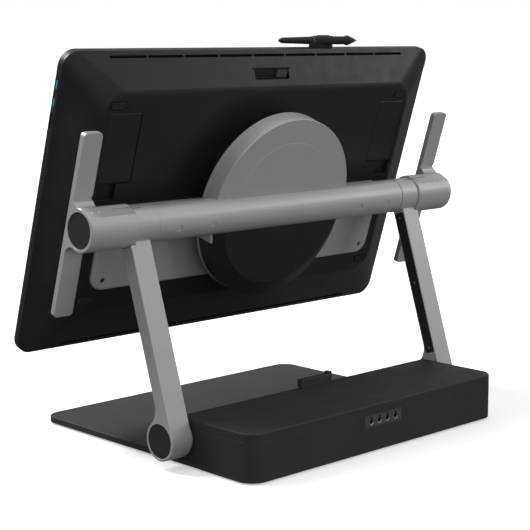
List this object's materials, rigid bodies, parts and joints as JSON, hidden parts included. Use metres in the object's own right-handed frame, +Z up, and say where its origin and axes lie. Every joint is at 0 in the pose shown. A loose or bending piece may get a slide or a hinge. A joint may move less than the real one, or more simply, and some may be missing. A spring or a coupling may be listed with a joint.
{
  "type": "pen drawing tablet",
  "caption": "Large pen display carried by a tilting tube between two hinged arms on a wide weighted base, with release levers, a turning mount and a pen on its top edge.",
  "frame": {"origin": "on the floor, under the middle of the base", "axes": "+X to the right for someone facing the screen, the screen faces -Y, +Z up"},
  "size_m": [0.8218, 0.5106, 0.6472],
  "materials": {
    "deck_charcoal": "fine moulded grain",
    "plate_steel": "black powder coat",
    "foot_rubber": "matte",
    "stand_silver": "satin, bead blasted",
    "disc_silver": "satin, fine blasted",
    "cap_black": "satin",
    "cone_black": "satin",
    "shaft_steel": "ground",
    "bush_bronze": "plain",
    "frame_cast": "as cast",
    "screw_steel": "satin",
    "bezel_black": "anodised black",
    "glass_front": "etched, dark",
    "panel_dark": "dark",
    "tray_metal": "mill",
    "board_green": "solder mask",
    "cover_black": "fine moulded grain",
    "grille_black": "matte",
    "socket_metal": "plated",
    "tongue_cyan": "moulded",
    "switch_dark": "satin",
    "pen_black": "soft touch",
    "pen_grip_rubber": "soft"
  },
  "bodies": {
    "base": {"base_plate": "plate_steel", "base_feet": "foot_rubber", "base_deck": "deck_charcoal", "box_body": "deck_charcoal", "box_lid": "deck_charcoal", "grommet_plate": "switch_dark", "rest_block": "deck_charcoal", "pivot_brackets": "frame_cast", "pivot_bushes": "bush_bronze", "spring_cartridges": "shaft_steel"},
    "arm_frame": {"arm_left": "stand_silver", "arm_right": "stand_silver", "arm_covers": "cap_black", "arm_cover_screws": "screw_steel", "pivot_caps": "cap_black", "cross_shaft": "shaft_steel", "tilt_bushes": "bush_bronze"},
    "tilt_beam": {"centre_tube": "stand_silver", "tube_plugs": "stand_silver", "tilt_shafts": "shaft_steel", "drum_ring": "disc_silver", "side_clamps": "disc_silver", "disc_cover": "disc_silver", "drum_cover": "cone_black", "drum_frame": "frame_cast"},
    "lever_left": {"lever_left": "stand_silver", "end_cap_left": "cap_black"},
    "lever_right": {"lever_right": "stand_silver", "end_cap_right": "cap_black"},
    "lock_left": {"lock_slider_left": "stand_silver"},
    "lock_right": {"lock_slider_right": "stand_silver"},
    "display": {"bracket_plate": "disc_silver", "bracket_screws": "screw_steel", "rotation_hub": "frame_cast", "bezel_frame": "bezel_black", "front_glass": "glass_front", "lcd_panel": "panel_dark", "backlight_tray": "tray_metal", "digitizer_board": "board_green", "main_board": "board_green", "heat_sink": "tray_metal", "fan_housing": "grille_black", "rear_cover": "cover_black", "vent_grilles": "grille_black", "rubber_pads": "foot_rubber", "port_sockets": "socket_metal", "port_tongues": "tongue_cyan", "leg_pins": "shaft_steel", "pen_rest": "pen_black"},
    "fan": {"fan": "grille_black"},
    "cover_latch": {"cover_latch": "switch_dark"},
    "power_button": {"power_button": "switch_dark"},
    "leg_left": {"leg_left": "cover_black"},
    "leg_right": {"leg_right": "cover_black"},
    "pen": {"pen_barrel": "pen_black", "pen_ring": "switch_dark", "pen_grip": "pen_grip_rubber", "pen_nib": "pen_black"},
    "pen_switch": {"pen_switch": "switch_dark"}
  },
  "joints": [
    {"name": "arm_swing", "type": "hinge", "parent": "base", "child": "arm_frame", "pos_m": [0, 0.1007, 0.0466], "axis": [1, 0, 0], "range_deg": [-30, 20]},
    {"name": "display_tilt", "type": "hinge", "parent": "arm_frame", "child": "tilt_beam", "pos_m": [0, 0.019, 0.3635], "axis": [-1, 0, 0], "range_deg": [-10, 55]},
    {"name": "display_rotate", "type": "hinge", "parent": "tilt_beam", "child": "display", "pos_m": [0, -0.02109, 0.38287], "axis": [0, 0.9563, -0.2924], "range_deg": [-20, 20]},
    {"name": "lever_left_pull", "type": "hinge", "parent": "tilt_beam", "child": "lever_left", "pos_m": [0, 0.019, 0.3635], "axis": [1, 0, 0], "range_deg": [-8, 8], "stiffness_Nm_per_rad": 8},
    {"name": "lever_right_pull", "type": "hinge", "parent": "tilt_beam", "child": "lever_right", "pos_m": [0, 0.019, 0.3635], "axis": [1, 0, 0], "range_deg": [-8, 8], "stiffness_Nm_per_rad": 8},
    {"name": "lock_left_slide", "type": "slide", "parent": "lever_left", "child": "lock_left", "axis": [-1, 0, 0], "range_m": [0, 0.012]},
    {"name": "lock_right_slide", "type": "slide", "parent": "lever_right", "child": "lock_right", "axis": [1, 0, 0], "range_m": [0, 0.012]},
    {"name": "leg_right_fold", "type": "hinge", "parent": "display", "child": "leg_right", "pos_m": [0.304, -0.00337, 0.52907], "axis": [-1, 0, 0], "range_deg": [-55, 0]},
    {"name": "leg_left_fold", "type": "hinge", "parent": "display", "child": "leg_left", "pos_m": [-0.304, -0.00337, 0.52907], "axis": [1, 0, 0], "range_deg": [0, 55]},
    {"name": "fan_spin", "type": "hinge", "parent": "display", "child": "fan", "pos_m": [0, -0.0309, 0.48416], "axis": [0, 0.9563, -0.2924], "continuous": true},
    {"name": "cover_latch_slide", "type": "slide", "parent": "display", "child": "cover_latch", "axis": [1, 0, 0], "range_m": [0, 0.008]},
    {"name": "power_press", "type": "slide", "parent": "display", "child": "power_button", "axis": [0, -0.2924, -0.9563], "range_m": [0, 0.0005], "stiffness_N_per_m": 900},
    {"name": "pen_lift", "type": "slide", "parent": "display", "child": "pen", "axis": [0, 0.2924, 0.9563], "range_m": [0, 0.06]},
    {"name": "pen_switch_rock", "type": "hinge", "parent": "pen", "child": "pen_switch", "pos_m": [-0.13629, -0.01257, 0.6446], "axis": [-0.2079, -0.9781, 0], "range_deg": [-2.5, 2.5], "stiffness_Nm_per_rad": 0.06}
  ]
}
